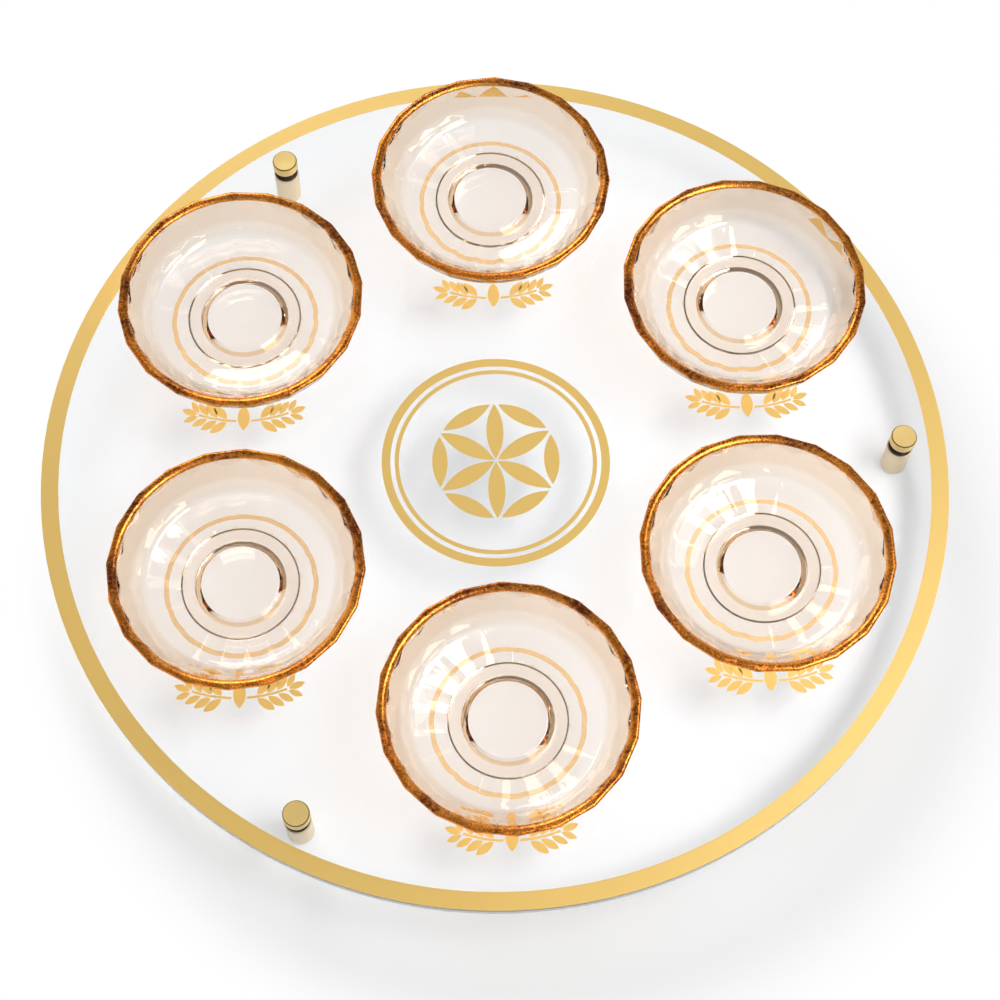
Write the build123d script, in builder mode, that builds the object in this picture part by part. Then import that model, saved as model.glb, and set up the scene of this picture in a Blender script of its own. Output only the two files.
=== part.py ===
from build123d import *
import os

# A round clear acrylic plate on three brass standoff legs, with gold foil rings, that carries six loose
# pressed-glass bowls. The origin is on the table under the middle of the plate. +Z is up, +X is to the
# right, and +Y is away from the person who faces the plate. All sizes are in millimetres.

# Plate
plate_diameter = 420.0
plate_thickness = 6.0

# Gold foil on the plate's top face
foil_thickness = 0.15
border_band_width = 8.0
centre_ring_diameter = 106.0
centre_ring_width = 4.0
centre_ring_gap = 2.0
inner_ring_width = 2.0

# Standoff legs: how they are spaced, and the pieces of one from the table up
standoff_names = ["right", "back_left", "front_left"]
standoff_edge_distance = 20.0
standoff_start_angle = 1.4
foot_pad_diameter = 10.0
foot_pad_thickness = 1.5
barrel_diameter = 12.0
barrel_length = 19.0
barrel_edge_chamfer = 0.4
barrel_bore_depth = 12.0
gasket_diameter = 11.0
gasket_thickness = 0.8
washer_diameter = 11.4
washer_thickness = 0.8
cap_diameter = 12.0
cap_height = 5.2
cap_edge_chamfer = 0.6
stud_diameter = 6.0
stud_depth_in_cap = 3.6
stud_depth_in_barrel = 9.0
thread_clearance = 0.1
washer_clearance = 0.3
plate_hole_clearance = 0.5

# Bowls: the gap between neighbours on the ring, then for each one its spot on the ring, how far to the right
# of the spot and away from the front it was put down, and how far its facets are turned
bowl_gap = 21.0
bowl_ring_shift_back = 7.5
bowl_places = [
    ("bowl_back", 90.0, 1.5, -3.7, -3.4),
    ("bowl_back_right", 30.0, 2.0, 2.2, 6.4),
    ("bowl_front_right", 330.0, 1.8, 1.9, 8.9),
    ("bowl_front", 270.0, 1.4, 0.5, 1.6),
    ("bowl_front_left", 210.0, 0.2, 0.5, -2.9),
    ("bowl_back_left", 150.0, -0.3, 1.2, 6.1),
]

# One bowl, from its foot up. The outside is rows of flat facets, and its radii are to the flats. The insets
# are measured from the rim inwards.
bowl_height = 25.0
rim_radius = 57.0
facet_count = 20
foot_ring_diameter = 53.6
foot_ring_height = 2.2
foot_recess_diameter = 42.0
foot_recess_floor_diameter = 35.0
foot_recess_depth = 4.0
shoulder_radius = 27.6
knee_inset = 15.0
knee_height = 5.75
heel_inset = 12.8
heel_height = 6.7
lower_belt_inset = 8.4
lower_belt_height = 9.6
upper_belt_inset = 2.6
upper_belt_height = 17.0
lip_thickness = 3.6
lip_chamfer = 0.8
inside_floor_radius = 28.0
inside_floor_height = 7.0
inside_bend_inset = 14.5
inside_bend_height = 10.0

# Heights that follow from the stack of a leg
barrel_bottom = foot_pad_thickness
barrel_top = barrel_bottom + barrel_length
plate_bottom = barrel_top + gasket_thickness
plate_top = plate_bottom + plate_thickness
cap_bottom = plate_top + washer_thickness
stud_bottom = barrel_top - stud_depth_in_barrel
stud_top = cap_bottom + stud_depth_in_cap

# Circles that the standoffs and the bowls stand on. Six bowls are as far from each other as from the middle.
standoff_circle_radius = plate_diameter / 2 - standoff_edge_distance
bowl_ring_radius = 2 * rim_radius + bowl_gap

# Holes that the stud goes into and through
tapped_hole_radius = stud_diameter / 2 + thread_clearance
washer_hole_radius = stud_diameter / 2 + washer_clearance
plate_hole_radius = stud_diameter / 2 + plate_hole_clearance

os.makedirs("parts", exist_ok=True)


def write_piece(builder, name):
    """Labels a finished piece and writes its STEP file."""
    builder.part.label = name
    export_step(builder.part, f"parts/{name}.step")


def make_foil_ring(name, outer_radius, width):
    """A flat ring of gold foil on the plate's top face."""
    with BuildPart() as foil_ring:
        with BuildSketch(Plane.XY.offset(plate_top)):
            Circle(outer_radius)
            Circle(outer_radius - width, mode=Mode.SUBTRACT)
        extrude(amount=foil_thickness)
    write_piece(foil_ring, name)


def make_washer(name, place, bottom, diameter, thickness):
    """A flat washer round the stud."""
    with BuildPart() as washer:
        with BuildSketch(Plane((place.X, place.Y, bottom))):
            Circle(diameter / 2)
            Circle(washer_hole_radius, mode=Mode.SUBTRACT)
        extrude(amount=thickness)
    write_piece(washer, name)


# Plate: square-edged disc with a hole for each standoff
with BuildPart() as plate_disc:
    with BuildSketch(Plane.XY.offset(plate_bottom)):
        Circle(plate_diameter / 2)
    extrude(amount=plate_thickness)
    with Locations((0, 0, plate_top)):
        with PolarLocations(standoff_circle_radius, len(standoff_names), standoff_start_angle):
            Hole(plate_hole_radius)
write_piece(plate_disc, "plate_disc")

# Foil: the band round the edge and the double ring in the middle
centre_ring_radius = centre_ring_diameter / 2
inner_ring_radius = centre_ring_radius - centre_ring_width - centre_ring_gap
make_foil_ring("border_band", plate_diameter / 2, border_band_width)
make_foil_ring("centre_ring_outer", centre_ring_radius, centre_ring_width)
make_foil_ring("centre_ring_inner", inner_ring_radius, inner_ring_width)

# Standoff legs: pad, barrel, gasket, washer, stud and cap of each
for number, side in enumerate(standoff_names):
    angle = standoff_start_angle + number * 360 / len(standoff_names)
    place = Vector(standoff_circle_radius, 0).rotate(Axis.Z, angle)

    with BuildPart() as foot_pad:
        with BuildSketch(Plane((place.X, place.Y, 0))):
            Circle(foot_pad_diameter / 2)
        extrude(amount=foot_pad_thickness)
    write_piece(foot_pad, f"foot_pad_{side}")

    with BuildPart() as leg_barrel:
        with BuildSketch(Plane((place.X, place.Y, barrel_bottom))):
            Circle(barrel_diameter / 2)
        extrude(amount=barrel_length)
        chamfer(leg_barrel.edges().group_by(Axis.Z)[0], barrel_edge_chamfer)
        with Locations((place.X, place.Y, barrel_top)):
            Hole(tapped_hole_radius, barrel_bore_depth)
    write_piece(leg_barrel, f"leg_barrel_{side}")

    make_washer(f"leg_gasket_{side}", place, barrel_top, gasket_diameter, gasket_thickness)
    make_washer(f"cap_washer_{side}", place, plate_top, washer_diameter, washer_thickness)

    with BuildPart() as standoff_stud:
        with BuildSketch(Plane((place.X, place.Y, stud_bottom))):
            Circle(stud_diameter / 2)
        extrude(amount=stud_top - stud_bottom)
    write_piece(standoff_stud, f"standoff_stud_{side}")

    with BuildPart() as standoff_cap:
        with BuildSketch(Plane((place.X, place.Y, cap_bottom))):
            Circle(cap_diameter / 2)
        extrude(amount=cap_height)
        chamfer(standoff_cap.edges().group_by(Axis.Z)[-1], cap_edge_chamfer)
        with BuildSketch(Plane((place.X, place.Y, cap_bottom))):
            Circle(tapped_hole_radius)
        extrude(amount=stud_depth_in_cap, mode=Mode.SUBTRACT)
    write_piece(standoff_cap, f"standoff_cap_{side}")

# Bowl outside: each row is a ring of flat cuts, turned by a share of a facet. Flutes are left under the bottom,
# then a narrow strip, and up the wall belts of pentagons and hexagons.
row_breaks = [
    (shoulder_radius, foot_ring_height),
    (rim_radius - knee_inset, knee_height),
    (rim_radius - heel_inset, heel_height),
    (rim_radius - lower_belt_inset, lower_belt_height),
    (rim_radius - upper_belt_inset, upper_belt_height),
    (rim_radius, bowl_height),
]
row_turns = [0, 0.5, 0.5, 0, 0.5]
facet_step = 360 / facet_count

with BuildPart() as bowl_glass:
    with BuildSketch(Plane.XY.offset(foot_ring_height)):
        RegularPolygon(rim_radius, facet_count, major_radius=False)
    extrude(amount=bowl_height - foot_ring_height)
    for row, row_turn in enumerate(row_turns):
        low_radius, low_height = row_breaks[row]
        high_radius, high_height = row_breaks[row + 1]
        outward = (high_height - low_height, 0, low_radius - high_radius)
        facet = Plane((low_radius, 0, low_height), x_dir=(0, 1, 0), z_dir=outward)
        for number in range(facet_count):
            turn = facet_step * (number + row_turn)
            split(bisect_by=Plane(Rotation(0, 0, turn) * facet.location), keep=Keep.BOTTOM)

    with BuildSketch():
        Circle(foot_ring_diameter / 2)
    extrude(amount=foot_ring_height)

    with BuildSketch(Plane.XZ):
        with BuildLine():
            Polyline(
                (0, 0),
                (foot_recess_diameter / 2, 0),
                (foot_recess_floor_diameter / 2, foot_recess_depth),
                (0, foot_recess_depth),
                close=True,
            )
        make_face()
    revolve(axis=Axis.Z, mode=Mode.SUBTRACT)

    with BuildSketch(Plane.XZ):
        with BuildLine():
            Polyline(
                (0, inside_floor_height),
                (inside_floor_radius, inside_floor_height),
                (rim_radius - inside_bend_inset, inside_bend_height),
                (rim_radius - lip_thickness, bowl_height),
                (0, bowl_height),
                close=True,
            )
        make_face()
    revolve(axis=Axis.Z, mode=Mode.SUBTRACT)
    chamfer(bowl_glass.faces().sort_by(Axis.Z)[-1].outer_wire().edges(), lip_chamfer)

for name, ring_angle, put_right, put_away, facet_turn in bowl_places:
    spot = Vector(bowl_ring_radius, 0).rotate(Axis.Z, ring_angle)
    place = spot + Vector(put_right, bowl_ring_shift_back + put_away, plate_top)
    with BuildPart() as bowl:
        with Locations(Location(place, (0, 0, facet_turn))):
            add(bowl_glass.part)
    write_piece(bowl, name)
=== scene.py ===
import math

import bmesh
import bpy
from bpy.props import FloatProperty, FloatVectorProperty, IntProperty, PointerProperty
from bpy.types import Operator, Panel, PropertyGroup
from mathutils import Matrix, Vector


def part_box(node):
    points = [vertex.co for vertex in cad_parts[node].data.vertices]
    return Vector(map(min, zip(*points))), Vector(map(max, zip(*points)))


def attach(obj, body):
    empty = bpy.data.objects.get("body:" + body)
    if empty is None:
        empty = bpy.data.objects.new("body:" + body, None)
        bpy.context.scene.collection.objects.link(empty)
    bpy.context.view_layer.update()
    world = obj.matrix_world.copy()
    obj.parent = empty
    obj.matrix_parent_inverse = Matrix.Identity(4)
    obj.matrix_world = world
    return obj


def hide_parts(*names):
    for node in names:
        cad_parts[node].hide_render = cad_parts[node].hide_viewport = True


bl_info = {
    "name": "Footed Plate with Six Glass Bowls",
    "version": (1, 0, 0),
    "blender": (4, 5, 0),
    "location": "View3D > Sidebar > Plate",
    "description": "Clear acrylic plate with gold foil on brass standoffs, with six faceted glass bowls",
    "category": "Object",
}

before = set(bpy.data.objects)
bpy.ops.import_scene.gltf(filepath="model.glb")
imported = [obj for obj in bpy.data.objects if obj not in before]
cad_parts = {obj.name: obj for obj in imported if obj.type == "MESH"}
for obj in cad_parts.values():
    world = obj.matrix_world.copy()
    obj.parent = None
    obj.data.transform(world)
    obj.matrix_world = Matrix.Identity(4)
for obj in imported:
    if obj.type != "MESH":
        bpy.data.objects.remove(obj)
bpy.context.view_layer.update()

mm = 0.001
plate_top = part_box("plate_disc")[1].z
standoff_sides = ("right", "back_left", "front_left")

# How far the facets of each bowl are turned, in degrees
bowl_turns = {
    "bowl_back": -3.4,
    "bowl_back_right": 6.4,
    "bowl_front_right": 8.9,
    "bowl_front": 1.6,
    "bowl_front_left": -2.9,
    "bowl_back_left": 6.1,
}


class BowlSettings(PropertyGroup):
    """Sizes and glass of one bowl."""

    facet_count: IntProperty(
        name="Facets", description="Flat facets in each row round the bowl", default=20, min=6
    )
    height: FloatProperty(
        name="Height", description="Height of the bowl", default=25 * mm, unit="LENGTH", precision=4
    )
    rim_radius: FloatProperty(
        name="Rim radius", description="From the axis to the flats of the rim", default=57 * mm,
        unit="LENGTH", precision=4,
    )
    foot_height: FloatProperty(
        name="Foot height", description="Height of the foot ring", default=2.2 * mm,
        unit="LENGTH", precision=4,
    )
    lip_round: FloatProperty(
        name="Lip rounding", description="Rounding of the lip's two edges", default=1.5 * mm,
        unit="LENGTH", precision=4,
    )
    facet_round: FloatProperty(
        name="Facet edge rounding", description="Rounding of the edges between facets", default=0.7 * mm,
        unit="LENGTH", precision=4,
    )
    recess_round: FloatProperty(
        name="Recess rounding", description="Rounding of the mouth of the recess under the foot",
        default=0.9 * mm, unit="LENGTH", precision=4,
    )
    flute_radius: FloatProperty(
        name="Flute radius", description="Radius of the hollow of a flute", default=38 * mm,
        unit="LENGTH", precision=4,
    )
    flute_depth: FloatProperty(
        name="Flute depth", description="Depth of the hollow of a flute", default=0.5 * mm,
        unit="LENGTH", precision=4,
    )
    glass_tint: FloatVectorProperty(
        name="Glass tint", description="Light that the glass lets through", subtype="COLOR", size=3,
        default=(0.89, 0.475, 0.05), min=0, max=1,
    )
    lip_gold: FloatVectorProperty(
        name="Lip gold", description="Colour of the gold on the lip", subtype="COLOR", size=3,
        default=(1.0, 0.33, 0.035), min=0, max=1,
    )
    glass_depth: FloatProperty(
        name="Glass depth", description="How strongly the glass colours light, per metre", default=34.0,
    )


class FoilSettings(PropertyGroup):
    """Gold foil and the ornaments cut from it."""

    gold: FloatVectorProperty(
        name="Gold", description="Colour of the foil", subtype="COLOR", size=3,
        default=(1.0, 0.67, 0.18), min=0, max=1,
    )
    thickness: FloatProperty(
        name="Thickness", description="Thickness of the foil", default=0.12 * mm, unit="LENGTH", precision=5
    )
    spot_ring_radius: FloatProperty(
        name="Spot ring radius", description="Outer radius of the ring that marks the place of a bowl",
        default=34.8 * mm, unit="LENGTH", precision=4,
    )
    spot_ring_width: FloatProperty(
        name="Spot ring width", description="Width of that ring", default=2.2 * mm, unit="LENGTH", precision=4
    )
    sprig_distance: FloatProperty(
        name="Sprig distance", description="From the middle of a bowl to the sprig in front of it",
        default=51.2 * mm, unit="LENGTH", precision=4,
    )
    rosette_radius: FloatProperty(
        name="Rosette radius", description="Length of a petal of the rosette in the middle", default=30 * mm,
        unit="LENGTH", precision=4,
    )


class StandoffSettings(PropertyGroup):
    """Turned brass pieces of the standoff legs."""

    brass: FloatVectorProperty(
        name="Brass", description="Colour of the caps", subtype="COLOR", size=3,
        default=(0.96, 0.69, 0.25), min=0, max=1,
    )
    barrel_brass: FloatVectorProperty(
        name="Barrel brass", description="Colour of the barrels under the plate", subtype="COLOR", size=3,
        default=(0.8, 0.66, 0.44), min=0, max=1,
    )
    groove_pitch: FloatProperty(
        name="Tool mark pitch", description="Distance between the rings that the turning tool left",
        default=0.32 * mm, unit="LENGTH", precision=5,
    )


class StageSettings(PropertyGroup):
    """Floor, light and camera."""

    floor_white: FloatProperty(name="Floor white", description="Lightness of the floor", default=0.9)
    overhead_power: FloatProperty(
        name="Overhead power", description="Soft lamp above the plate", default=2.0, unit="POWER"
    )
    key_power: FloatProperty(
        name="Key power", description="Soft lamp behind on the left", default=9.0, unit="POWER"
    )
    fill_power: FloatProperty(
        name="Fill power", description="Soft lamp in front on the right", default=9.8, unit="POWER"
    )
    camera_place: FloatVectorProperty(
        name="Camera place", description="Where the camera stands", subtype="TRANSLATION", size=3,
        default=(-0.0205, -0.4024, 0.9029),
    )
    camera_target: FloatVectorProperty(
        name="Camera target", description="What the camera looks at", subtype="TRANSLATION", size=3,
        default=(0.00127, -0.02007, 0.0273),
    )
    camera_roll: FloatProperty(
        name="Camera roll", description="Tilt of the camera about its own axis", subtype="ANGLE",
        default=math.radians(1.583),
    )
    camera_lens: FloatProperty(
        name="Camera lens", description="Focal length in millimetres on a 36 mm sensor", default=74.74
    )


class Wire:
    """An output socket in a shader tree. Sums, products and the like on it add Math nodes."""

    def __init__(self, tree, socket):
        self.tree = tree
        self.socket = socket

    def math(self, operation, *values):
        node = self.tree.nodes.new("ShaderNodeMath")
        node.operation = operation
        for entry, value in zip(node.inputs, values):
            plug(self.tree, entry, value)
        return Wire(self.tree, node.outputs[0])

    def __add__(self, other):
        return self.math("ADD", self, other)

    def __sub__(self, other):
        return self.math("SUBTRACT", self, other)

    def __rsub__(self, other):
        return self.math("SUBTRACT", other, self)

    def __mul__(self, other):
        return self.math("MULTIPLY", self, other)

    __radd__ = __add__
    __rmul__ = __mul__

    def larger(self, other):
        return self.math("MAXIMUM", self, other)

    def wave(self):
        return self.math("SINE", self)


def plug(tree, entry, value):
    """Links a wire to an input socket, or sets the socket's own value."""
    if isinstance(value, Wire):
        tree.links.new(value.socket, entry)
    else:
        entry.default_value = value


class Finish:
    """The shader tree of a material or the world while it is built."""

    def __init__(self, owner):
        owner.use_nodes = True
        self.owner = owner
        self.tree = owner.node_tree
        self.tree.nodes.clear()

    def node(self, kind, settings=None, sockets=None, out=0):
        """Adds a node, sets it up, fills its sockets, and gives one of its outputs if it has any."""
        node = self.tree.nodes.new(kind)
        for name, value in (settings or {}).items():
            if name == "stops":
                stops = node.color_ramp.elements
                while len(stops) < len(value):
                    stops.new(1.0)
                for stop, (place, tone) in zip(stops, value):
                    stop.position = place
                    stop.color = tone
            else:
                setattr(node, name, value)
        for name, value in (sockets or {}).items():
            plug(self.tree, node.inputs[name], value)
        return Wire(self.tree, node.outputs[out]) if node.outputs else None

    def place(self):
        """Object coordinates in metres."""
        return self.node("ShaderNodeTexCoord", out="Object")

    def height(self):
        """Height above the table in metres."""
        return self.node("ShaderNodeSeparateXYZ", sockets={0: self.place()}, out="Z")

    def grain(self, scale, detail=2.0, stretch=(1, 1, 1)):
        """Noise from 0 to 1 on object coordinates, with its scale per metre."""
        spot = self.node("ShaderNodeMapping", sockets={"Vector": self.place(), "Scale": stretch})
        return self.node("ShaderNodeTexNoise", sockets={"Vector": spot, "Scale": scale, "Detail": detail})

    def ease(self, value, low, high, start=0.0, end=1.0):
        """Goes smoothly from start to end as the value goes from low to high."""
        return self.node(
            "ShaderNodeMapRange", {"interpolation_type": "SMOOTHSTEP"},
            {"Value": value, "From Min": low, "From Max": high, "To Min": start, "To Max": end},
        )

    def blend(self, share, first, second):
        """A colour between two colours."""
        return self.node("ShaderNodeMix", {"data_type": "RGBA"}, {0: share, 6: first, 7: second}, out=2)

    def bump(self, height, depth, strength):
        """A normal for a relief of a depth in metres."""
        return self.node(
            "ShaderNodeBump", sockets={"Height": height, "Distance": depth, "Strength": strength}
        )

    def shader(self, sockets):
        """A Principled shader."""
        return self.node("ShaderNodeBsdfPrincipled", sockets=sockets)

    def mix(self, share, first, second):
        """A shader between two shaders."""
        return self.node("ShaderNodeMixShader", sockets={0: share, 1: first, 2: second})

    def ray(self, kind):
        """1 for light paths of one kind, and 0 for the rest."""
        return self.node("ShaderNodeLightPath", out=f"Is {kind} Ray")

    def let_lamps_through(self, surface, tint):
        """A clear surface that lamps shine through, so that it casts only a pale shadow."""
        clear = self.node("ShaderNodeBsdfTransparent", sockets={0: tint})
        return self.mix(self.ray("Shadow"), surface, clear)

    def ends(self, surface, volume=None):
        """Sends the surface, and a volume if there is one, to the output, and gives the material."""
        sockets = {"Surface": surface}
        if volume:
            sockets["Volume"] = volume
        self.node("ShaderNodeOutputMaterial", sockets=sockets)
        return self.owner


def colour(red, green, blue):
    return (red, green, blue, 1.0)


def begin():
    """Deselects everything in object mode."""
    if bpy.context.object and bpy.context.object.mode != "OBJECT":
        bpy.ops.object.mode_set(mode="OBJECT")
    bpy.ops.object.select_all(action="DESELECT")


def pick(piece):
    """Selects one piece alone and makes it the active one."""
    begin()
    piece.select_set(True)
    bpy.context.view_layer.objects.active = piece


def edit(piece):
    """Opens one piece in edit mode with nothing selected."""
    pick(piece)
    bpy.ops.object.mode_set(mode="EDIT")
    bpy.ops.mesh.select_mode(type="FACE")
    bpy.ops.mesh.select_all(action="DESELECT")


def choose(piece, kind, test):
    """Selects the faces or edges of the open piece that pass a test."""
    bpy.ops.mesh.select_mode(type=kind)
    bpy.ops.mesh.select_all(action="DESELECT")
    mesh = bmesh.from_edit_mesh(piece.data)
    chosen = [part for part in (mesh.faces if kind == "FACE" else mesh.edges) if test(part)]
    if not chosen:
        raise RuntimeError(f"nothing to select on {piece.name}")
    for part in chosen:
        part.select_set(True)
    bmesh.update_edit_mesh(piece.data)


def close():
    """Leaves edit mode."""
    bpy.ops.object.mode_set(mode="OBJECT")


def scrap(*pieces):
    """Removes patterns and tools that aren't needed any more."""
    for piece in pieces:
        bpy.data.objects.remove(piece)


def draw_rings(radius, height, profile):
    """Draws the selected flat face out ring by ring, to each radius and height of a profile."""
    for next_radius, next_height in profile:
        bpy.ops.mesh.extrude_region_move(TRANSFORM_OT_translate={"value": (0, 0, next_height - height)})
        share = next_radius / radius
        bpy.ops.transform.resize(value=(share, share, 1), center_override=(0, 0, 0))
        radius, height = next_radius, next_height


def add_disc(name, radius, bottom, top, steps):
    """A plain round blank on the Z axis."""
    begin()
    bpy.ops.mesh.primitive_cylinder_add(
        vertices=steps, radius=radius, depth=top - bottom, location=(0, 0, (bottom + top) / 2)
    )
    piece = bpy.context.object
    piece.name = name
    bpy.ops.object.transform_apply(location=True, rotation=True, scale=True)
    return piece


def rounded(corners):
    """The points of an outline in metres, with an arc in place of each corner that has a rounding."""
    steps = 8
    points = []
    for number, (radius, height, rounding) in enumerate(corners):
        corner = Vector((radius, height))
        if not rounding:
            points.append(corner * mm)
            continue
        back = (Vector(corners[number - 1][:2]) - corner).normalized()
        ahead = (Vector(corners[number + 1][:2]) - corner).normalized()
        half = back.angle(ahead) / 2
        reach = rounding / math.tan(half)
        centre = corner + (back + ahead).normalized() * rounding / math.sin(half)
        start, end = corner + back * reach - centre, corner + ahead * reach - centre
        for step in range(steps + 1):
            points.append((centre + start.lerp(end, step / steps).normalized() * rounding) * mm)
    return points


def turned(name, profile):
    """A round solid on the Z axis, from the radius and height of each ring, the lowest first."""
    (radius, bottom), (next_radius, top), *rings = profile
    piece = add_disc(name, radius, bottom, top, steps=144)
    edit(piece)
    choose(piece, "FACE", lambda face: face.normal.z > 0.9)
    share = next_radius / radius
    bpy.ops.transform.resize(value=(share, share, 1), center_override=(0, 0, 0))
    draw_rings(next_radius, top, rings)
    close()
    return piece


def combine(piece, tool, operation):
    """Joins, cuts or crosses a piece with a tool, and removes the tool."""
    pick(piece)
    modifier = piece.modifiers.new("combine", "BOOLEAN")
    modifier.operation = operation
    modifier.solver = "EXACT"
    modifier.object = tool
    bpy.ops.object.modifier_apply(modifier=modifier.name)
    scrap(tool)


def smooth(piece, angle):
    """Shades a piece smooth where its faces meet at less than an angle in degrees."""
    pick(piece)
    bpy.ops.object.shade_smooth_by_angle(angle=math.radians(angle))


def keep_flats(piece):
    """Lets large flat faces stay flat in the shading of a smooth piece."""
    pick(piece)
    modifier = piece.modifiers.new("flats", "WEIGHTED_NORMAL")
    modifier.keep_sharp = True
    modifier.weight = 100
    bpy.ops.object.modifier_apply(modifier=modifier.name)


def put_copy(pattern, name, spot, turn=0.0, size=1.0):
    """A copy of a pattern with its own mesh, turned about Z and moved to its spot."""
    pick(pattern)
    bpy.ops.object.duplicate()
    copy = bpy.context.object
    copy.name = name
    copy.scale = (size, size, 1)
    copy.rotation_euler.z = turn
    copy.location = spot
    bpy.ops.object.transform_apply(location=True, rotation=True, scale=True)
    return copy


def join(name, pieces):
    """Makes one object of several."""
    begin()
    for piece in pieces:
        piece.select_set(True)
    bpy.context.view_layer.objects.active = pieces[0]
    bpy.ops.object.join()
    pieces[0].name = name
    return pieces[0]


def dress(piece, material):
    """Gives a piece or a CAD node one material all over."""
    if piece.material_slots:
        for slot in piece.material_slots:
            slot.material = material
    else:
        piece.data.materials.append(material)


def middle(node):
    """The middle of a CAD node's box, on its axis if it is round."""
    low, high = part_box(node)
    return (low + high) / 2


def spot_on_plate(node):
    """The point of the plate's top face under the middle of a CAD node."""
    spot = middle(node)
    spot.z = plate_top
    return spot


def toward(angle):
    """The level direction at an angle from +X."""
    return Vector((math.cos(angle), math.sin(angle), 0))


def amber_glass():
    """Pale amber pressed glass, deeper where light goes far through it, with painted shade on the upper wall
    and gold brushed on the lip.
    """
    settings = bpy.context.scene.bowl_settings
    finish = Finish(bpy.data.materials.new("amber pressed glass"))
    height = finish.height() - plate_top
    fleck = finish.grain(900, 3.0)
    wall = finish.ease(height, 9.5 * mm, 12 * mm)
    foot = finish.ease(height, 0.4 * mm, 0.7 * mm) * finish.ease(height, 2.2 * mm, 2.6 * mm, 1.0, 0.0)
    # Painted shade: the upper wall is darkened to beige for the shadow that the walls cast on the floor seen
    # through them. The foot is a deeper amber, for the long way light goes through it.
    tint = finish.blend(wall, colour(1, 1, 1), colour(0.89, 0.8, 0.7))
    tint = finish.blend(foot, tint, colour(0.85, 0.6, 0.32))

    brush = finish.grain(480, 4.0)
    mottle = finish.grain(40, 1.0)
    lip = settings.height
    gilded = finish.ease(height + brush * (0.5 * mm), lip - 1.1 * mm, lip - 0.8 * mm)
    strokes = finish.ease(brush * 0.6 + mottle * 0.7, 0.46, 0.7)
    gilding = finish.blend(strokes, colour(0.26, 0.055, 0.012), colour(*settings.lip_gold))
    polish = finish.ease(fleck, 0.3, 0.8, 0.0, 0.01)
    glass = finish.shader({
        "Base Color": finish.blend(gilded, tint, gilding),
        "Metallic": gilded * 0.72,
        "Roughness": polish + gilded * finish.ease(fleck, 0.3, 0.7, 0.18, 0.34),
        "IOR": 1.5,
        "Transmission Weight": 1.0,
        "Normal": finish.bump(gilded * (brush + fleck * 0.3), 0.2 * mm, 0.5),
    })
    surface = finish.let_lamps_through(glass, colour(0.95, 0.94, 0.93))
    volume = finish.node(
        "ShaderNodeVolumeAbsorption", sockets={0: colour(*settings.glass_tint), 1: settings.glass_depth}
    )
    return finish.ends(surface, volume)


def clear_acrylic():
    """Cast acrylic sheet with very faint rubbing marks and a pale edge, with a painted brown reflection of
    the foil along its upper part.
    """
    finish = Finish(bpy.data.materials.new("clear acrylic"))
    rub = finish.grain(260, 2.0, (1, 0.08, 1))
    sheet = finish.shader({
        "Base Color": colour(0.985, 0.99, 1.0),
        "Roughness": finish.ease(rub, 0.35, 0.8, 0.0, 0.03),
        "IOR": 1.49,
        "Transmission Weight": 1.0,
    })

    # Painted reflection: the upper part of the edge is painted brown for the foil seen in it.
    painted_foil_reflection = finish.ease(finish.height() - plate_top, -2.6 * mm, -1.6 * mm)
    pale = finish.blend(rub, colour(0.62, 0.64, 0.65), colour(0.8, 0.82, 0.83))
    edge = finish.shader({
        "Base Color": finish.blend(painted_foil_reflection, pale, colour(0.22, 0.13, 0.06)),
        "Roughness": finish.ease(rub, 0.35, 0.8, 0.12, 0.3),
        "IOR": 1.49,
    })
    level = finish.node(
        "ShaderNodeVectorMath", {"operation": "MULTIPLY"}, {0: finish.place(), 1: (1, 1, 0)}
    )
    radius = finish.node("ShaderNodeVectorMath", {"operation": "LENGTH"}, {0: level}, out="Value")
    plate_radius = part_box("plate_disc")[1].x
    on_edge = finish.ease(radius, plate_radius - 0.4 * mm, plate_radius - 0.2 * mm, 0.0, 0.75)
    acrylic = finish.mix(on_edge, sheet, edge)
    return finish.ends(finish.let_lamps_through(acrylic, colour(0.96, 0.965, 0.97)))


def gold_foil(name, cover):
    """Satin gold foil with a fine rolled grain, that covers the plate fully or thinly."""
    settings = bpy.context.scene.foil_settings
    finish = Finish(bpy.data.materials.new(name))
    grain = finish.grain(2600, 2.0)
    cloud = finish.grain(22, 2.0)
    deep = colour(*(part * 0.95 for part in settings.gold))
    return finish.ends(finish.shader({
        "Base Color": finish.blend(cloud, deep, colour(*settings.gold)),
        "Metallic": 0.4,
        "Roughness": finish.ease(grain, 0.2, 0.8, 0.36, 0.5),
        "Alpha": cover,
        "Normal": finish.bump(grain, 0.02 * mm, 0.4),
        "Coat Weight": 0.8,
        "Coat Roughness": 0.35,
    }))


def turned_brass(name, tone, roughness):
    """Lacquered brass from the lathe, with the rings of the tool and a painted dark line of shade in a cap's
    chamfer.
    """
    settings = bpy.context.scene.standoff_settings
    finish = Finish(bpy.data.materials.new(name))
    radius = finish.node("ShaderNodeAttribute", {"attribute_name": "lathe_radius"}, out="Fac")
    rings = (radius * (2 * math.pi / settings.groove_pitch)).wave()
    grain = finish.grain(900, 2.0)
    dull = colour(*(part * 0.92 for part in tone))
    metal = finish.blend(grain, dull, colour(*tone))
    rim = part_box("standoff_cap_right")[1].x - middle("standoff_cap_right").x
    # Painted shade: a near-black line round the chamfer of a cap.
    line = finish.ease(radius, rim - 0.6 * mm, rim - 0.4 * mm)
    line = line * finish.ease(radius, rim - 0.2 * mm, rim - 0.1 * mm, 1.0, 0.0)
    return finish.ends(finish.shader({
        "Base Color": finish.blend(line, metal, colour(0.05, 0.03, 0.015)),
        "Metallic": 0.4,
        "Roughness": finish.ease(grain, 0.2, 0.8, roughness - 0.02, roughness + 0.02),
        "Normal": finish.bump(rings, 0.006 * mm, 0.5),
    }))


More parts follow.
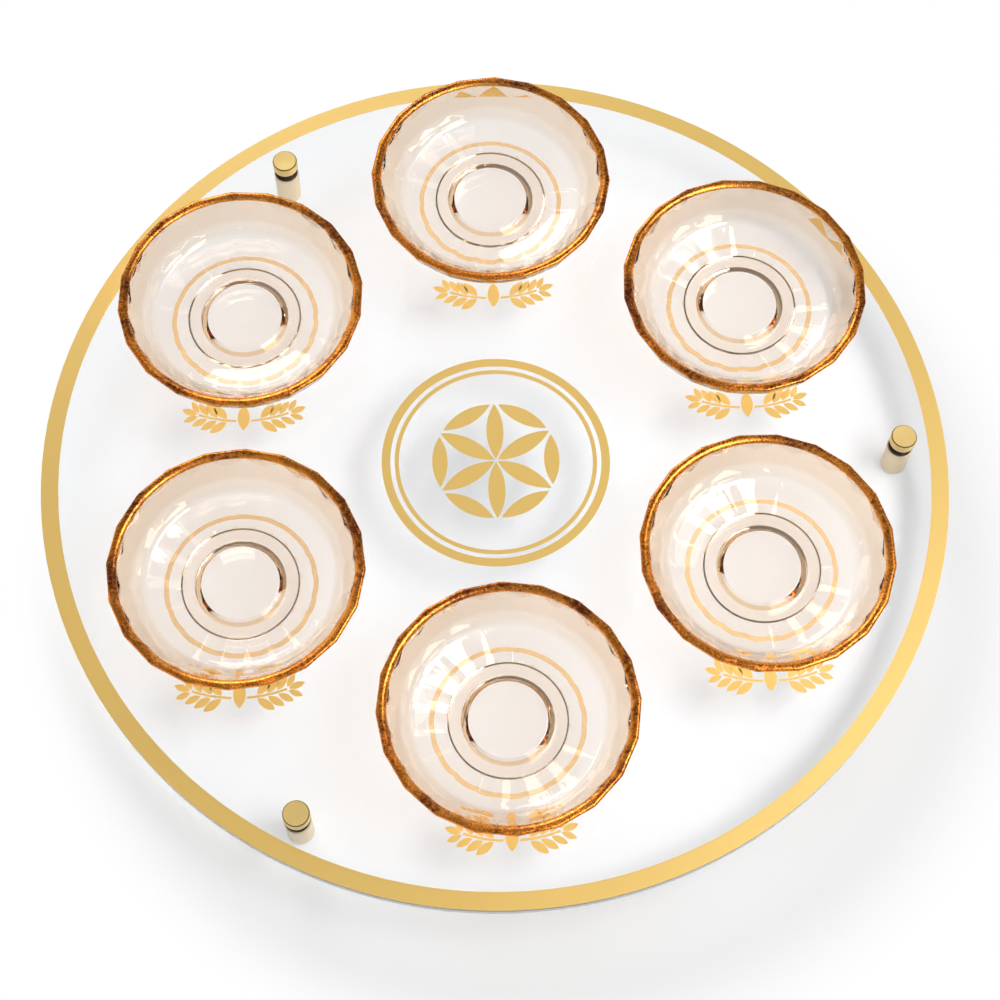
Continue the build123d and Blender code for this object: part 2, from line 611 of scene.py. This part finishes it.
def black_rubber():
    """Matt black rubber."""
    finish = Finish(bpy.data.materials.new("black rubber"))
    grain = finish.grain(1800, 3.0)
    return finish.ends(finish.shader({
        "Base Color": finish.blend(grain, colour(0.01, 0.01, 0.011), colour(0.03, 0.03, 0.032)),
        "Roughness": finish.ease(grain, 0.2, 0.8, 0.5, 0.75),
        "Normal": finish.bump(grain, 0.03 * mm, 0.4),
    }))


def threaded_steel():
    """Bright steel with a screw thread, with painted shade in the roots of the thread."""
    finish = Finish(bpy.data.materials.new("threaded steel"))
    thread_pitch = 1 * mm
    thread = (finish.height() * (2 * math.pi / thread_pitch)).wave()
    # Painted shade: the roots of the thread are darker and the crests lighter.
    painted_thread_shade = thread * 0.5 + 0.5
    return finish.ends(finish.shader({
        "Base Color": finish.blend(painted_thread_shade, colour(0.3, 0.3, 0.31), colour(0.66, 0.66, 0.67)),
        "Metallic": 1.0,
        "Roughness": finish.ease(thread, -1.0, 1.0, 0.45, 0.22),
        "Normal": finish.bump(thread, 0.3 * mm, 0.8),
    }))


def washer_plastic():
    """Clear plastic with a cool tint."""
    finish = Finish(bpy.data.materials.new("clear washer plastic"))
    grain = finish.grain(700, 2.0)
    washer = finish.shader({
        "Base Color": colour(0.8, 0.87, 0.93),
        "Roughness": finish.ease(grain, 0.3, 0.8, 0.08, 0.22),
        "IOR": 1.46,
        "Transmission Weight": 1.0,
    })
    return finish.ends(finish.let_lamps_through(washer, colour(0.85, 0.9, 0.94)))


class PLATE_OT_bowls(Operator):
    """Models one faceted glass bowl and puts six of them on the plate"""

    bl_idname = "plate.bowls"
    bl_label = "Glass Bowls"

    # Rows of facets from the foot up: the radius to the flats and the height of the lower edge in
    # millimetres, and how far the row is turned, in facets. The last entry is the top of the last row.
    rows = (
        (27.6, 2.2, 0.0),
        (42.0, 5.75, 0.5),
        (44.2, 6.7, 0.5),
        (48.6, 9.6, 0.0),
        (54.4, 17.0, 0.5),
        (57.0, 25.0, 0.5),
    )
    # Outlines of the foot, the recess under it and the smooth inside: the radius, the height and the
    # rounding of each corner in millimetres. The foot stops just short of the plate.
    foot = ((20.0, 0.03, 0.0), (26.8, 0.03, 1.8), (26.8, 2.6, 0.0))
    recess = ((22.75, -2.0, 0.0), (17.5, 4.0, 0.8), (10.0, 4.0, 0.0))
    inside = ((20.0, 7.0, 0.0), (28.0, 7.0, 40.0), (42.5, 10.0, 8.0), (54.85, 27.0, 0.0))

    def facets(self, sizes):
        """The outside: a blank cut flat all round, row by row."""
        half_step = math.pi / sizes.facet_count
        blank = add_disc(
            "bowl", sizes.rim_radius / math.cos(half_step), sizes.foot_height, sizes.height, sizes.facet_count
        )
        edit(blank)
        for (low_radius, low, row_turn), (high_radius, high, _) in zip(self.rows, self.rows[1:]):
            outward = Vector((high - low, 0, low_radius - high_radius)).normalized()
            for number in range(sizes.facet_count):
                turn = Matrix.Rotation(2 * half_step * (number + row_turn), 3, "Z")
                bpy.ops.mesh.select_all(action="SELECT")
                bpy.ops.mesh.bisect(
                    plane_co=turn @ Vector((low_radius, 0, low)) * mm,
                    plane_no=turn @ outward,
                    use_fill=True,
                    clear_outer=True,
                )
        bpy.ops.mesh.select_all(action="SELECT")
        bpy.ops.mesh.remove_doubles(threshold=0.02 * mm)
        bpy.ops.mesh.normals_make_consistent(inside=False)

        margin = 0.01 * mm
        top = sizes.height - margin
        bottom = sizes.foot_height + margin

        def on_top(edge):
            return all(point.co.z > top for point in edge.verts)

        def on_bottom(edge):
            return all(point.co.z < bottom for point in edge.verts)

        choose(blank, "EDGE", lambda edge: not on_top(edge) and not on_bottom(edge))
        bpy.ops.mesh.bevel(offset=sizes.facet_round, segments=2, affect="EDGES", clamp_overlap=True)
        choose(blank, "EDGE", on_top)
        bpy.ops.mesh.bevel(offset=sizes.lip_round, segments=4, affect="EDGES", clamp_overlap=True)
        close()
        return blank

    def hollow_flutes(self, bowl, sizes):
        """Hollows each flute under the bottom with a long cylinder."""
        (low_radius, low, row_turn), (high_radius, high, _) = self.rows[:2]
        along = Vector((high_radius - low_radius, 0, high - low)).normalized()
        outward = Vector((along.z, 0, -along.x))
        between = Vector((low_radius + high_radius, 0, low + high)) / 2 * mm
        cutter_length = 30 * mm
        for number in range(sizes.facet_count):
            turn = Matrix.Rotation(2 * math.pi / sizes.facet_count * (number + row_turn), 3, "Z")
            begin()
            bpy.ops.mesh.primitive_cylinder_add(
                vertices=180,
                radius=sizes.flute_radius,
                depth=cutter_length,
                location=turn @ (between + outward * (sizes.flute_radius - sizes.flute_depth)),
                rotation=(turn @ along).to_track_quat("Z", "Y").to_euler(),
            )
            combine(bowl, bpy.context.object, "DIFFERENCE")

    def round_ring(self, bowl, radius, height, rounding):
        """Rounds the sharp edge of the open bowl that runs round at one radius and height."""
        height_margin, radius_margin = 0.02 * mm, 0.3 * mm

        def on_ring(point):
            off_radius = abs(point.co.xy.length - radius)
            return abs(point.co.z - height) < height_margin and off_radius < radius_margin

        choose(bowl, "EDGE", lambda edge: all(on_ring(point) for point in edge.verts))
        bpy.ops.mesh.bevel(offset=rounding, segments=4, affect="EDGES", clamp_overlap=True)

    def radius_at(self, first, second, height):
        """The radius at which the line between two corners of an outline passes a height."""
        share = (height / mm - first[1]) / (second[1] - first[1])
        return (first[0] + (second[0] - first[0]) * share) * mm

    def flatten_facets(self, bowl):
        """Shades the facets of the wall flat, and leaves the roundings between them smooth."""
        wall_radius = (self.rows[1][0] + 0.2) * mm
        least_area = 8 * mm * mm
        edit(bowl)
        choose(
            bowl, "FACE",
            lambda face: face.normal.z < 0
            and face.calc_area() > least_area
            and face.calc_center_median().xy.length > wall_radius,
        )
        bpy.ops.mesh.faces_shade_flat()
        close()

    def execute(self, context):
        sizes = context.scene.bowl_settings
        bowl = self.facets(sizes)
        self.hollow_flutes(bowl, sizes)
        combine(bowl, turned("foot", rounded(self.foot)[1:]), "UNION")
        combine(bowl, turned("recess", rounded(self.recess)), "DIFFERENCE")
        combine(bowl, turned("well", rounded(self.inside)[1:]), "DIFFERENCE")
        edit(bowl)
        bpy.ops.mesh.select_all(action="SELECT")
        bpy.ops.mesh.remove_doubles(threshold=0.005 * mm)
        bpy.ops.mesh.normals_make_consistent(inside=False)
        foot_bottom = self.foot[0][1] * mm
        mouth_radius = self.radius_at(self.recess[0], self.recess[1], foot_bottom)
        lip_radius = self.radius_at(self.inside[2], self.inside[3], sizes.height)
        self.round_ring(bowl, lip_radius, sizes.height, sizes.lip_round)
        self.round_ring(bowl, mouth_radius, foot_bottom, sizes.recess_round)
        close()
        smooth(bowl, angle=32)
        self.flatten_facets(bowl)
        dress(bowl, amber_glass())
        for name, turn in bowl_turns.items():
            copy = put_copy(bowl, name + "_glass", spot_on_plate(name), math.radians(turn))
            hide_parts(name)
            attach(copy, name)
        scrap(bowl)
        return {"FINISHED"}


class PLATE_OT_plate(Operator):
    """Finishes the acrylic disc and the foil rings on it"""

    bl_idname = "plate.plate"
    bl_label = "Plate and Foil Rings"

    def execute(self, context):
        dress(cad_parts["plate_disc"], clear_acrylic())
        gold = gold_foil("gold foil", 1.0)
        for name in ("border_band", "centre_ring_outer", "centre_ring_inner"):
            dress(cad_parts[name], gold)
        return {"FINISHED"}


class PLATE_OT_ornaments(Operator):
    """Cuts the foil ornaments: a ring under each bowl, a sprig in front of it, and a rosette in the middle"""

    bl_idname = "plate.ornaments"
    bl_label = "Foil Ornaments"

    def petal(self, length, width, thickness):
        """A pointed petal along X, where two discs cross."""
        half_length, half_width = length / 2, width / 2
        radius = (half_length ** 2 + half_width ** 2) / (2 * half_width)
        disc = add_disc("petal", radius, 0, thickness, steps=160)
        sides = []
        for side in (-1, 1):
            sides.append(put_copy(disc, "petal", Vector((0, side * (radius - half_width), 0))))
        scrap(disc)
        combine(sides[0], sides[1], "INTERSECT")
        return sides[0]

    def band(self, radius, width, thickness, steps=160):
        """A flat ring."""
        ring = add_disc("band", radius, 0, thickness, steps)
        hole = add_disc("band hole", radius - width, -thickness, 2 * thickness, steps)
        combine(ring, hole, "DIFFERENCE")
        return ring

    def arc(self, radius, width, thickness, start, end):
        """A piece of a flat ring, between two directions."""
        ring = self.band(radius, width, thickness, steps=360)
        edit(ring)
        for angle, side in ((start, -1), (end, 1)):
            across = Vector((-math.sin(angle), math.cos(angle), 0)) * side
            bpy.ops.mesh.select_all(action="SELECT")
            bpy.ops.mesh.bisect(plane_co=(0, 0, 0), plane_no=across, use_fill=True, clear_outer=True)
        close()
        return ring

    def sprig(self, thickness):
        """A bud with a curved stem on each side, each with four pairs of leaves and one at its tip."""
        stem_radius, stem_width, stem_drop = 62 * mm, 1.1 * mm, 2.2 * mm
        leaf_length, leaf_width, leaf_gap = 9.4 * mm, 3.9 * mm, 1.3 * mm
        tip_size, tip_reach = 0.8, 4.6 * mm
        bud_length, bud_width = 13 * mm, 5.6 * mm
        # Angles along the stem's circle and of the leaves, in degrees
        stem_start, stem_end = 3.2, 20
        first_pair, pair_step, leaf_lean = 6.5, 4.3, 42

        stem_centre = Vector((0, stem_radius - stem_drop, 0))
        mid_radius = stem_radius - stem_width / 2
        leaf = self.petal(leaf_length, leaf_width, thickness)
        parts = []
        for side in (-1, 1):
            outward = 0 if side > 0 else 180
            start, end = (math.radians(-90 + side * angle) for angle in (stem_start, stem_end))
            stem = self.arc(stem_radius, stem_width, thickness, min(start, end), max(start, end))
            parts.append(put_copy(stem, "stem", stem_centre))
            scrap(stem)
            for number in range(4):
                angle = -90 + side * (first_pair + pair_step * number)
                root = toward(math.radians(angle)) * mid_radius + stem_centre
                size = 1.0 - 0.09 * number
                for lift in (-1, 1):
                    lean = math.radians(angle + 90 + side * lift * leaf_lean + outward)
                    reach = leaf_gap + leaf_length / 2 * size
                    parts.append(put_copy(leaf, "leaf", root + toward(lean) * reach, lean, size))
            lean = end + math.radians(90 + outward)
            tip = toward(end) * mid_radius + stem_centre
            parts.append(put_copy(leaf, "leaf", tip + toward(lean) * tip_reach, lean, tip_size))
        bud = self.petal(bud_length, bud_width, thickness)
        parts.append(put_copy(bud, "bud", (0, 0, 0), math.pi / 2))
        scrap(bud, leaf)
        return join("sprig", parts)

    def rosette(self, radius, thickness):
        """Six petals drawn with a compass, and six more round them."""
        petal = self.petal(radius * 0.95, radius * 0.268, thickness)
        half_step = math.radians(30)
        parts = []
        for number in range(6):
            angle = half_step + 2 * half_step * number
            parts.append(put_copy(petal, "petal", toward(angle) * radius / 2, angle))
            between = angle + half_step
            side = toward(between) * radius * math.cos(half_step)
            parts.append(put_copy(petal, "petal", side, between + math.pi / 2, 0.9))
        scrap(petal)
        return join("rosette", parts)

    def execute(self, context):
        sizes = context.scene.foil_settings
        gold, thin_gold = bpy.data.materials["gold foil"], gold_foil("thin gold foil", 0.45)
        ring = self.band(sizes.spot_ring_radius, sizes.spot_ring_width, sizes.thickness)
        sprig = self.sprig(sizes.thickness)
        rosette = self.rosette(sizes.rosette_radius, sizes.thickness)
        before_bowl = Vector((0, sizes.sprig_distance, 0))
        pieces = []
        for name in bowl_turns:
            spot = spot_on_plate(name)
            pieces.append((put_copy(ring, name + "_spot_ring", spot), thin_gold))
            pieces.append((put_copy(sprig, name + "_sprig", spot - before_bowl), gold))
        pieces.append((put_copy(rosette, "centre_rosette", (0, 0, plate_top)), gold))
        scrap(ring, sprig, rosette)
        for piece, foil in pieces:
            dress(piece, foil)
            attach(piece, "stand")
        return {"FINISHED"}


class PLATE_OT_standoffs(Operator):
    """Turns the brass caps and finishes the other pieces of the standoff legs"""

    bl_idname = "plate.standoffs"
    bl_label = "Standoff Legs"

    def cap(self):
        """A turned cap with a chamfered edge and a shallow dished top."""
        low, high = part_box("standoff_cap_right")
        radius, height = (high.x - low.x) / 2, high.z - low.z
        cap = add_disc("cap", radius, 0, height, steps=128)
        edit(cap)
        choose(cap, "FACE", lambda face: face.normal.z > 0.9)
        chamfer, dish = 0.6 * mm, 0.12 * mm
        rings = [(radius - chamfer, height)]
        for share in (0.84, 0.7, 0.55, 0.4, 0.25, 0.1, 0.01):
            rings.append((share * radius, height - dish * (1 - share)))
        bpy.ops.transform.translate(value=(0, 0, -chamfer))
        draw_rings(radius, height - chamfer, rings)
        close()
        reach = cap.data.attributes.new("lathe_radius", "FLOAT", "POINT")
        for point, value in zip(cap.data.vertices, reach.data):
            value.value = point.co.xy.length
        smooth(cap, angle=30)
        keep_flats(cap)
        return cap

    def execute(self, context):
        settings = context.scene.standoff_settings
        brass = turned_brass("turned brass", settings.brass, 0.4)
        barrel_brass = turned_brass("barrel brass", settings.barrel_brass, 0.34)
        rubber, steel, plastic = black_rubber(), threaded_steel(), washer_plastic()
        pattern = self.cap()
        dress(pattern, brass)
        for side in standoff_sides:
            node = f"standoff_cap_{side}"
            spot = middle(node)
            spot.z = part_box(node)[0].z
            cap = put_copy(pattern, node + "_turned", spot)
            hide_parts(node)
            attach(cap, "stand")
            dress(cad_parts[f"leg_barrel_{side}"], barrel_brass)
            dress(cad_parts[f"standoff_stud_{side}"], steel)
            dress(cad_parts[f"leg_gasket_{side}"], rubber)
            dress(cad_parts[f"foot_pad_{side}"], rubber)
            dress(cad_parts[f"cap_washer_{side}"], plastic)
        scrap(pattern)
        return {"FINISHED"}


class PLATE_OT_stage(Operator):
    """Sets up the white floor, the soft lamps, the room and the camera"""

    bl_idname = "plate.stage"
    bl_label = "Stage"

    def floor(self, settings):
        """A white floor that keeps the shadow near the plate and shows as white further out."""
        begin()
        bpy.ops.mesh.primitive_plane_add(size=8, location=(0, 0, -0.05 * mm))
        floor = bpy.context.object
        floor.name = "floor"
        finish = Finish(bpy.data.materials.new("white floor"))
        white = settings.floor_white
        paper = finish.node("ShaderNodeBsdfDiffuse", sockets={0: colour(white, white, white)})
        glow = finish.node("ShaderNodeEmission", sockets={0: colour(1, 1, 1), 1: 1.0})
        seen = finish.ray("Camera").larger(finish.ray("Glossy")).larger(finish.ray("Transmission"))
        # The glow lifts the floor's real shadow by place: the round where the shadow is kept is set off the
        # plate's middle toward the front right, so the glow washes the shadow out sooner on the left than in
        # front.
        shadow_middle, shadow_radius, white_radius = Vector((0.02, -0.035, 0)), 0.2, 0.245
        glow_in_shadow = 0.42
        away = finish.node(
            "ShaderNodeVectorMath",
            {"operation": "DISTANCE"},
            {0: finish.place(), 1: shadow_middle},
            out="Value",
        )
        share = seen * finish.ease(away, shadow_radius, white_radius, glow_in_shadow, 1.0)
        dress(floor, finish.ends(finish.mix(share, paper, glow)))

    def lamp(self, name, power, width, height, place):
        """A soft lamp that faces the middle of the plate."""
        begin()
        bpy.ops.object.light_add(type="AREA", location=place)
        lamp = bpy.context.object
        lamp.name = name
        lamp.data.shape = "ELLIPSE"
        lamp.data.size = width
        lamp.data.size_y = height
        lamp.data.energy = power
        lamp.rotation_euler = Vector(place).to_track_quat("Z", "Y").to_euler()

    def room(self, scene):
        """White for the camera, and for the light pale walls, brighter on the left, under a dark ceiling."""
        scene.world = bpy.data.worlds.new("studio")
        finish = Finish(scene.world)
        way = finish.node("ShaderNodeTexCoord", out="Generated")
        up = finish.node("ShaderNodeSeparateXYZ", sockets={0: way}, out="Z")
        across = finish.node("ShaderNodeSeparateXYZ", sockets={0: way}, out="X")
        walls = finish.ease(up, 0.3, 0.65, 0.8, 0.24) * finish.ease(across, -0.5, 0.6, 1.2, 0.6)
        strength = walls.larger(finish.ray("Camera"))
        light = finish.node("ShaderNodeBackground", sockets={0: colour(1, 1, 1), 1: strength})
        finish.node("ShaderNodeOutputWorld", sockets={"Surface": light})

    def camera(self, settings):
        """A camera at its place, turned to its target and rolled."""
        begin()
        bpy.ops.object.camera_add()
        camera = bpy.context.object
        camera.name = "camera"
        ahead = (Vector(settings.camera_target) - Vector(settings.camera_place)).normalized()
        level = ahead.cross((0, 0, 1)).normalized()
        above = level.cross(ahead)
        turn = Matrix.Rotation(settings.camera_roll, 4, "Z")
        facing = Matrix((level, above, -ahead)).transposed().to_4x4()
        camera.matrix_world = Matrix.Translation(settings.camera_place) @ facing @ turn
        camera.data.lens = settings.camera_lens
        camera.data.sensor_width = 36
        camera.data.clip_start = 0.01
        bpy.context.scene.camera = camera

    def execute(self, context):
        settings = context.scene.stage_settings
        self.floor(settings)
        self.lamp("overhead", settings.overhead_power, width=0.6, height=0.6, place=(0.85, 0.25, 1.4))
        self.lamp("key", settings.key_power, width=0.9, height=0.7, place=(-0.45, 1.65, 1.25))
        self.lamp("fill", settings.fill_power, width=0.95, height=0.42, place=(0.68, -0.25, 1.3))
        self.room(context.scene)
        self.camera(settings)
        context.scene.view_settings.view_transform = "Standard"
        bounces_in_glass = 24
        context.scene.cycles.max_bounces = bounces_in_glass
        context.scene.cycles.transmission_bounces = bounces_in_glass
        context.scene.cycles.transparent_max_bounces = bounces_in_glass
        return {"FINISHED"}


class PLATE_PT_panel(Panel):
    """Lists the steps and the sizes"""

    bl_label = "Footed Plate"
    bl_space_type = "VIEW_3D"
    bl_region_type = "UI"
    bl_category = "Plate"

    def draw(self, context):
        groups = (
            (PLATE_OT_bowls, "bowl_settings"),
            (PLATE_OT_plate, None),
            (PLATE_OT_ornaments, "foil_settings"),
            (PLATE_OT_standoffs, "standoff_settings"),
            (PLATE_OT_stage, "stage_settings"),
        )
        for step, name in groups:
            box = self.layout.box()
            box.operator(step.bl_idname)
            if name:
                settings = getattr(context.scene, name)
                for entry in settings.bl_rna.properties:
                    if entry.identifier not in ("rna_type", "name"):
                        box.prop(settings, entry.identifier)


classes = (
    BowlSettings,
    FoilSettings,
    StandoffSettings,
    StageSettings,
    PLATE_OT_bowls,
    PLATE_OT_plate,
    PLATE_OT_ornaments,
    PLATE_OT_standoffs,
    PLATE_OT_stage,
    PLATE_PT_panel,
)


def register():
    for one in classes:
        bpy.utils.register_class(one)
    bpy.types.Scene.bowl_settings = PointerProperty(type=BowlSettings)
    bpy.types.Scene.foil_settings = PointerProperty(type=FoilSettings)
    bpy.types.Scene.standoff_settings = PointerProperty(type=StandoffSettings)
    bpy.types.Scene.stage_settings = PointerProperty(type=StageSettings)


def unregister():
    del bpy.types.Scene.bowl_settings
    del bpy.types.Scene.foil_settings
    del bpy.types.Scene.standoff_settings
    del bpy.types.Scene.stage_settings
    for one in reversed(classes):
        bpy.utils.unregister_class(one)


def main():
    register()
    bpy.ops.plate.bowls()
    bpy.ops.plate.plate()
    bpy.ops.plate.ornaments()
    bpy.ops.plate.standoffs()
    bpy.ops.plate.stage()


if __name__ == "__main__":
    main()
